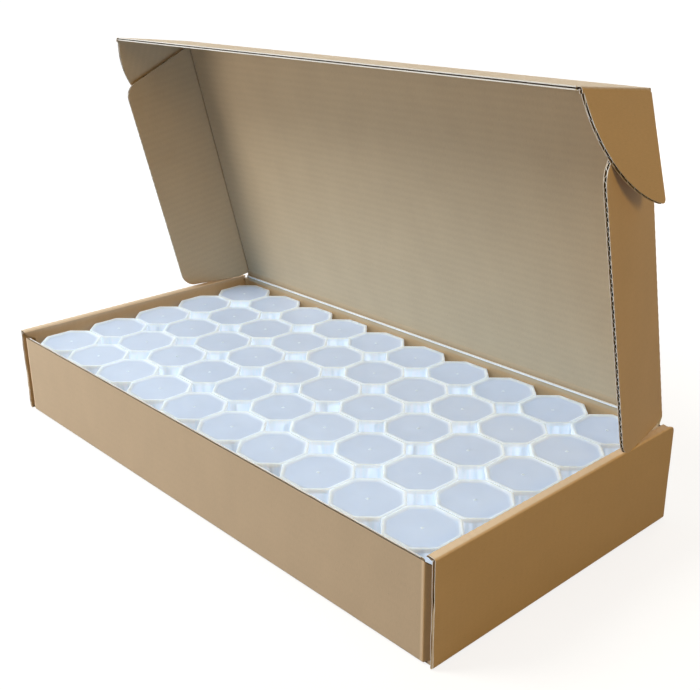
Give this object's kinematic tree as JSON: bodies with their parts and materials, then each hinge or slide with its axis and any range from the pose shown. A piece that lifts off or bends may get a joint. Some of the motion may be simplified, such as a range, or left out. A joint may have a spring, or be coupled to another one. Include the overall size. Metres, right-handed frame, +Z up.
{
  "type": "boxed set of coin tubes",
  "caption": "Corrugated roll-end carton with a tuck-front lid, holding rows of capped octagonal plastic coin tubes that lift out.",
  "frame": {"origin": "middle of the carton's underside, on the table", "axes": "+X along the carton's length to the right, +Y towards the hinge, +Z up"},
  "size_m": [0.4992, 0.2338, 0.3007],
  "materials": {
    "kraft_board": "plain brown kraft liner, matt",
    "frosted_plastic": "translucent frosted polypropylene"
  },
  "bodies": {
    "tray": {"bottom_panel": "kraft_board", "front_panel": "kraft_board", "back_panel": "kraft_board", "corner_flap_front_right": "kraft_board", "corner_flap_front_left": "kraft_board", "corner_flap_back_right": "kraft_board", "corner_flap_back_left": "kraft_board", "end_panel_right": "kraft_board", "end_panel_left": "kraft_board", "rim_strip_right": "kraft_board", "rim_strip_left": "kraft_board", "inner_panel_right": "kraft_board", "inner_panel_left": "kraft_board", "tubes_back_row": "frosted_plastic", "caps_back_row": "frosted_plastic"},
    "lid": {"lid_panel": "kraft_board"},
    "tuck_flap": {"tuck_flap": "kraft_board"},
    "dust_flap_right": {"dust_flap_right": "kraft_board"},
    "ear_right": {"ear_right": "kraft_board"},
    "dust_flap_left": {"dust_flap_left": "kraft_board"},
    "ear_left": {"ear_left": "kraft_board"},
    "tube_front_1": {"tube_front_1": "frosted_plastic"},
    "cap_front_1": {"cap_front_1": "frosted_plastic"},
    "tube_front_2": {"tube_front_2": "frosted_plastic"},
    "cap_front_2": {"cap_front_2": "frosted_plastic"},
    "tube_front_3": {"tube_front_3": "frosted_plastic"},
    "cap_front_3": {"cap_front_3": "frosted_plastic"},
    "tube_front_4": {"tube_front_4": "frosted_plastic"},
    "cap_front_4": {"cap_front_4": "frosted_plastic"},
    "tube_front_5": {"tube_front_5": "frosted_plastic"},
    "cap_front_5": {"cap_front_5": "frosted_plastic"},
    "tube_front_6": {"tube_front_6": "frosted_plastic"},
    "cap_front_6": {"cap_front_6": "frosted_plastic"},
    "tube_front_7": {"tube_front_7": "frosted_plastic"},
    "cap_front_7": {"cap_front_7": "frosted_plastic"},
    "tube_front_8": {"tube_front_8": "frosted_plastic"},
    "cap_front_8": {"cap_front_8": "frosted_plastic"},
    "tube_front_9": {"tube_front_9": "frosted_plastic"},
    "cap_front_9": {"cap_front_9": "frosted_plastic"},
    "tube_front_10": {"tube_front_10": "frosted_plastic"},
    "cap_front_10": {"cap_front_10": "frosted_plastic"},
    "tube_left_2": {"tube_left_2": "frosted_plastic"},
    "cap_left_2": {"cap_left_2": "frosted_plastic"},
    "tube_left_3": {"tube_left_3": "frosted_plastic"},
    "cap_left_3": {"cap_left_3": "frosted_plastic"},
    "tube_left_4": {"tube_left_4": "frosted_plastic"},
    "cap_left_4": {"cap_left_4": "frosted_plastic"},
    "tube_right_2": {"tube_right_2": "frosted_plastic"},
    "cap_right_2": {"cap_right_2": "frosted_plastic"},
    "tube_right_3": {"tube_right_3": "frosted_plastic"},
    "cap_right_3": {"cap_right_3": "frosted_plastic"},
    "tube_right_4": {"tube_right_4": "frosted_plastic"},
    "cap_right_4": {"cap_right_4": "frosted_plastic"},
    "row_2": {"tubes_row_2": "frosted_plastic", "caps_row_2": "frosted_plastic"},
    "row_3": {"tubes_row_3": "frosted_plastic", "caps_row_3": "frosted_plastic"},
    "row_4": {"tubes_row_4": "frosted_plastic", "caps_row_4": "frosted_plastic"}
  },
  "joints": [
    {"name": "lid_hinge", "type": "hinge", "parent": "tray", "child": "lid", "pos_m": [0, 0.1159, 0.07115], "axis": [-1, 0, 0], "range_deg": [-76.3, 103.7], "deforming": ["tuck_flap", "dust_flap_right", "ear_right", "dust_flap_left", "ear_left"]},
    {"name": "tuck_crease", "type": "hinge", "parent": "lid", "child": "tuck_flap", "pos_m": [0, 0.0616, 0.29388], "axis": [-1, 0, 0], "range_deg": [-19.65, 26.69]},
    {"name": "dust_crease_right", "type": "hinge", "parent": "lid", "child": "dust_flap_right", "pos_m": [0.2281, 0.1159, 0.07115], "axis": [0, -0.2368, 0.9715], "range_deg": [-12.05, 16.36]},
    {"name": "ear_crease_right", "type": "hinge", "parent": "tuck_flap", "child": "ear_right", "pos_m": [0.23055, 0.06138, 0.29169], "axis": [0, -0.9947, 0.1028], "range_deg": [-18.55, 25.19]},
    {"name": "dust_crease_left", "type": "hinge", "parent": "lid", "child": "dust_flap_left", "pos_m": [-0.2281, 0.1159, 0.07115], "axis": [0, 0.2368, -0.9715], "range_deg": [-12.05, 16.36]},
    {"name": "ear_crease_left", "type": "hinge", "parent": "tuck_flap", "child": "ear_left", "pos_m": [-0.23055, 0.06138, 0.29169], "axis": [0, 0.9947, -0.1028], "range_deg": [-18.55, 25.19]},
    {"name": "tube_lift_front_1", "type": "slide", "parent": "tray", "child": "tube_front_1", "axis": [0, 0, 1], "range_m": [0, 0.075]},
    {"name": "cap_lift_front_1", "type": "slide", "parent": "tube_front_1", "child": "cap_front_1", "axis": [0, 0, 1], "range_m": [0, 0.025]},
    {"name": "tube_lift_front_2", "type": "slide", "parent": "tray", "child": "tube_front_2", "axis": [0, 0, 1], "range_m": [0, 0.075]},
    {"name": "cap_lift_front_2", "type": "slide", "parent": "tube_front_2", "child": "cap_front_2", "axis": [0, 0, 1], "range_m": [0, 0.025]},
    {"name": "tube_lift_front_3", "type": "slide", "parent": "tray", "child": "tube_front_3", "axis": [0, 0, 1], "range_m": [0, 0.075]},
    {"name": "cap_lift_front_3", "type": "slide", "parent": "tube_front_3", "child": "cap_front_3", "axis": [0, 0, 1], "range_m": [0, 0.025]},
    {"name": "tube_lift_front_4", "type": "slide", "parent": "tray", "child": "tube_front_4", "axis": [0, 0, 1], "range_m": [0, 0.075]},
    {"name": "cap_lift_front_4", "type": "slide", "parent": "tube_front_4", "child": "cap_front_4", "axis": [0, 0, 1], "range_m": [0, 0.025]},
    {"name": "tube_lift_front_5", "type": "slide", "parent": "tray", "child": "tube_front_5", "axis": [0, 0, 1], "range_m": [0, 0.075]},
    {"name": "cap_lift_front_5", "type": "slide", "parent": "tube_front_5", "child": "cap_front_5", "axis": [0, 0, 1], "range_m": [0, 0.025]},
    {"name": "tube_lift_front_6", "type": "slide", "parent": "tray", "child": "tube_front_6", "axis": [0, 0, 1], "range_m": [0, 0.075]},
    {"name": "cap_lift_front_6", "type": "slide", "parent": "tube_front_6", "child": "cap_front_6", "axis": [0, 0, 1], "range_m": [0, 0.025]},
    {"name": "tube_lift_front_7", "type": "slide", "parent": "tray", "child": "tube_front_7", "axis": [0, 0, 1], "range_m": [0, 0.075]},
    {"name": "cap_lift_front_7", "type": "slide", "parent": "tube_front_7", "child": "cap_front_7", "axis": [0, 0, 1], "range_m": [0, 0.025]},
    {"name": "tube_lift_front_8", "type": "slide", "parent": "tray", "child": "tube_front_8", "axis": [0, 0, 1], "range_m": [0, 0.075]},
    {"name": "cap_lift_front_8", "type": "slide", "parent": "tube_front_8", "child": "cap_front_8", "axis": [0, 0, 1], "range_m": [0, 0.025]},
    {"name": "tube_lift_front_9", "type": "slide", "parent": "tray", "child": "tube_front_9", "axis": [0, 0, 1], "range_m": [0, 0.075]},
    {"name": "cap_lift_front_9", "type": "slide", "parent": "tube_front_9", "child": "cap_front_9", "axis": [0, 0, 1], "range_m": [0, 0.025]},
    {"name": "tube_lift_front_10", "type": "slide", "parent": "tray", "child": "tube_front_10", "axis": [0, 0, 1], "range_m": [0, 0.075]},
    {"name": "cap_lift_front_10", "type": "slide", "parent": "tube_front_10", "child": "cap_front_10", "axis": [0, 0, 1], "range_m": [0, 0.025]},
    {"name": "tube_lift_left_2", "type": "slide", "parent": "tray", "child": "tube_left_2", "axis": [0, 0, 1], "range_m": [0, 0.075]},
    {"name": "cap_lift_left_2", "type": "slide", "parent": "tube_left_2", "child": "cap_left_2", "axis": [0, 0, 1], "range_m": [0, 0.025]},
    {"name": "tube_lift_left_3", "type": "slide", "parent": "tray", "child": "tube_left_3", "axis": [0, 0, 1], "range_m": [0, 0.075]},
    {"name": "cap_lift_left_3", "type": "slide", "parent": "tube_left_3", "child": "cap_left_3", "axis": [0, 0, 1], "range_m": [0, 0.025]},
    {"name": "tube_lift_left_4", "type": "slide", "parent": "tray", "child": "tube_left_4", "axis": [0, 0, 1], "range_m": [0, 0.075]},
    {"name": "cap_lift_left_4", "type": "slide", "parent": "tube_left_4", "child": "cap_left_4", "axis": [0, 0, 1], "range_m": [0, 0.025]},
    {"name": "tube_lift_right_2", "type": "slide", "parent": "tray", "child": "tube_right_2", "axis": [0, 0, 1], "range_m": [0, 0.075]},
    {"name": "cap_lift_right_2", "type": "slide", "parent": "tube_right_2", "child": "cap_right_2", "axis": [0, 0, 1], "range_m": [0, 0.025]},
    {"name": "tube_lift_right_3", "type": "slide", "parent": "tray", "child": "tube_right_3", "axis": [0, 0, 1], "range_m": [0, 0.075]},
    {"name": "cap_lift_right_3", "type": "slide", "parent": "tube_right_3", "child": "cap_right_3", "axis": [0, 0, 1], "range_m": [0, 0.025]},
    {"name": "tube_lift_right_4", "type": "slide", "parent": "tray", "child": "tube_right_4", "axis": [0, 0, 1], "range_m": [0, 0.075]},
    {"name": "cap_lift_right_4", "type": "slide", "parent": "tube_right_4", "child": "cap_right_4", "axis": [0, 0, 1], "range_m": [0, 0.025]},
    {"name": "row_lift_2", "type": "slide", "parent": "tray", "child": "row_2", "axis": [0, 0, 1], "range_m": [0, 0.075]},
    {"name": "row_lift_3", "type": "slide", "parent": "tray", "child": "row_3", "axis": [0, 0, 1], "range_m": [0, 0.075]},
    {"name": "row_lift_4", "type": "slide", "parent": "tray", "child": "row_4", "axis": [0, 0, 1], "range_m": [0, 0.075]}
  ],
  "couplings": [
    {"joint": "tuck_crease", "follows": "lid_hinge", "ratio": 0.25688},
    {"joint": "dust_crease_right", "follows": "lid_hinge", "ratio": 0.15727},
    {"joint": "ear_crease_right", "follows": "lid_hinge", "ratio": 0.24246},
    {"joint": "dust_crease_left", "follows": "lid_hinge", "ratio": 0.15727},
    {"joint": "ear_crease_left", "follows": "lid_hinge", "ratio": 0.24246}
  ]
}
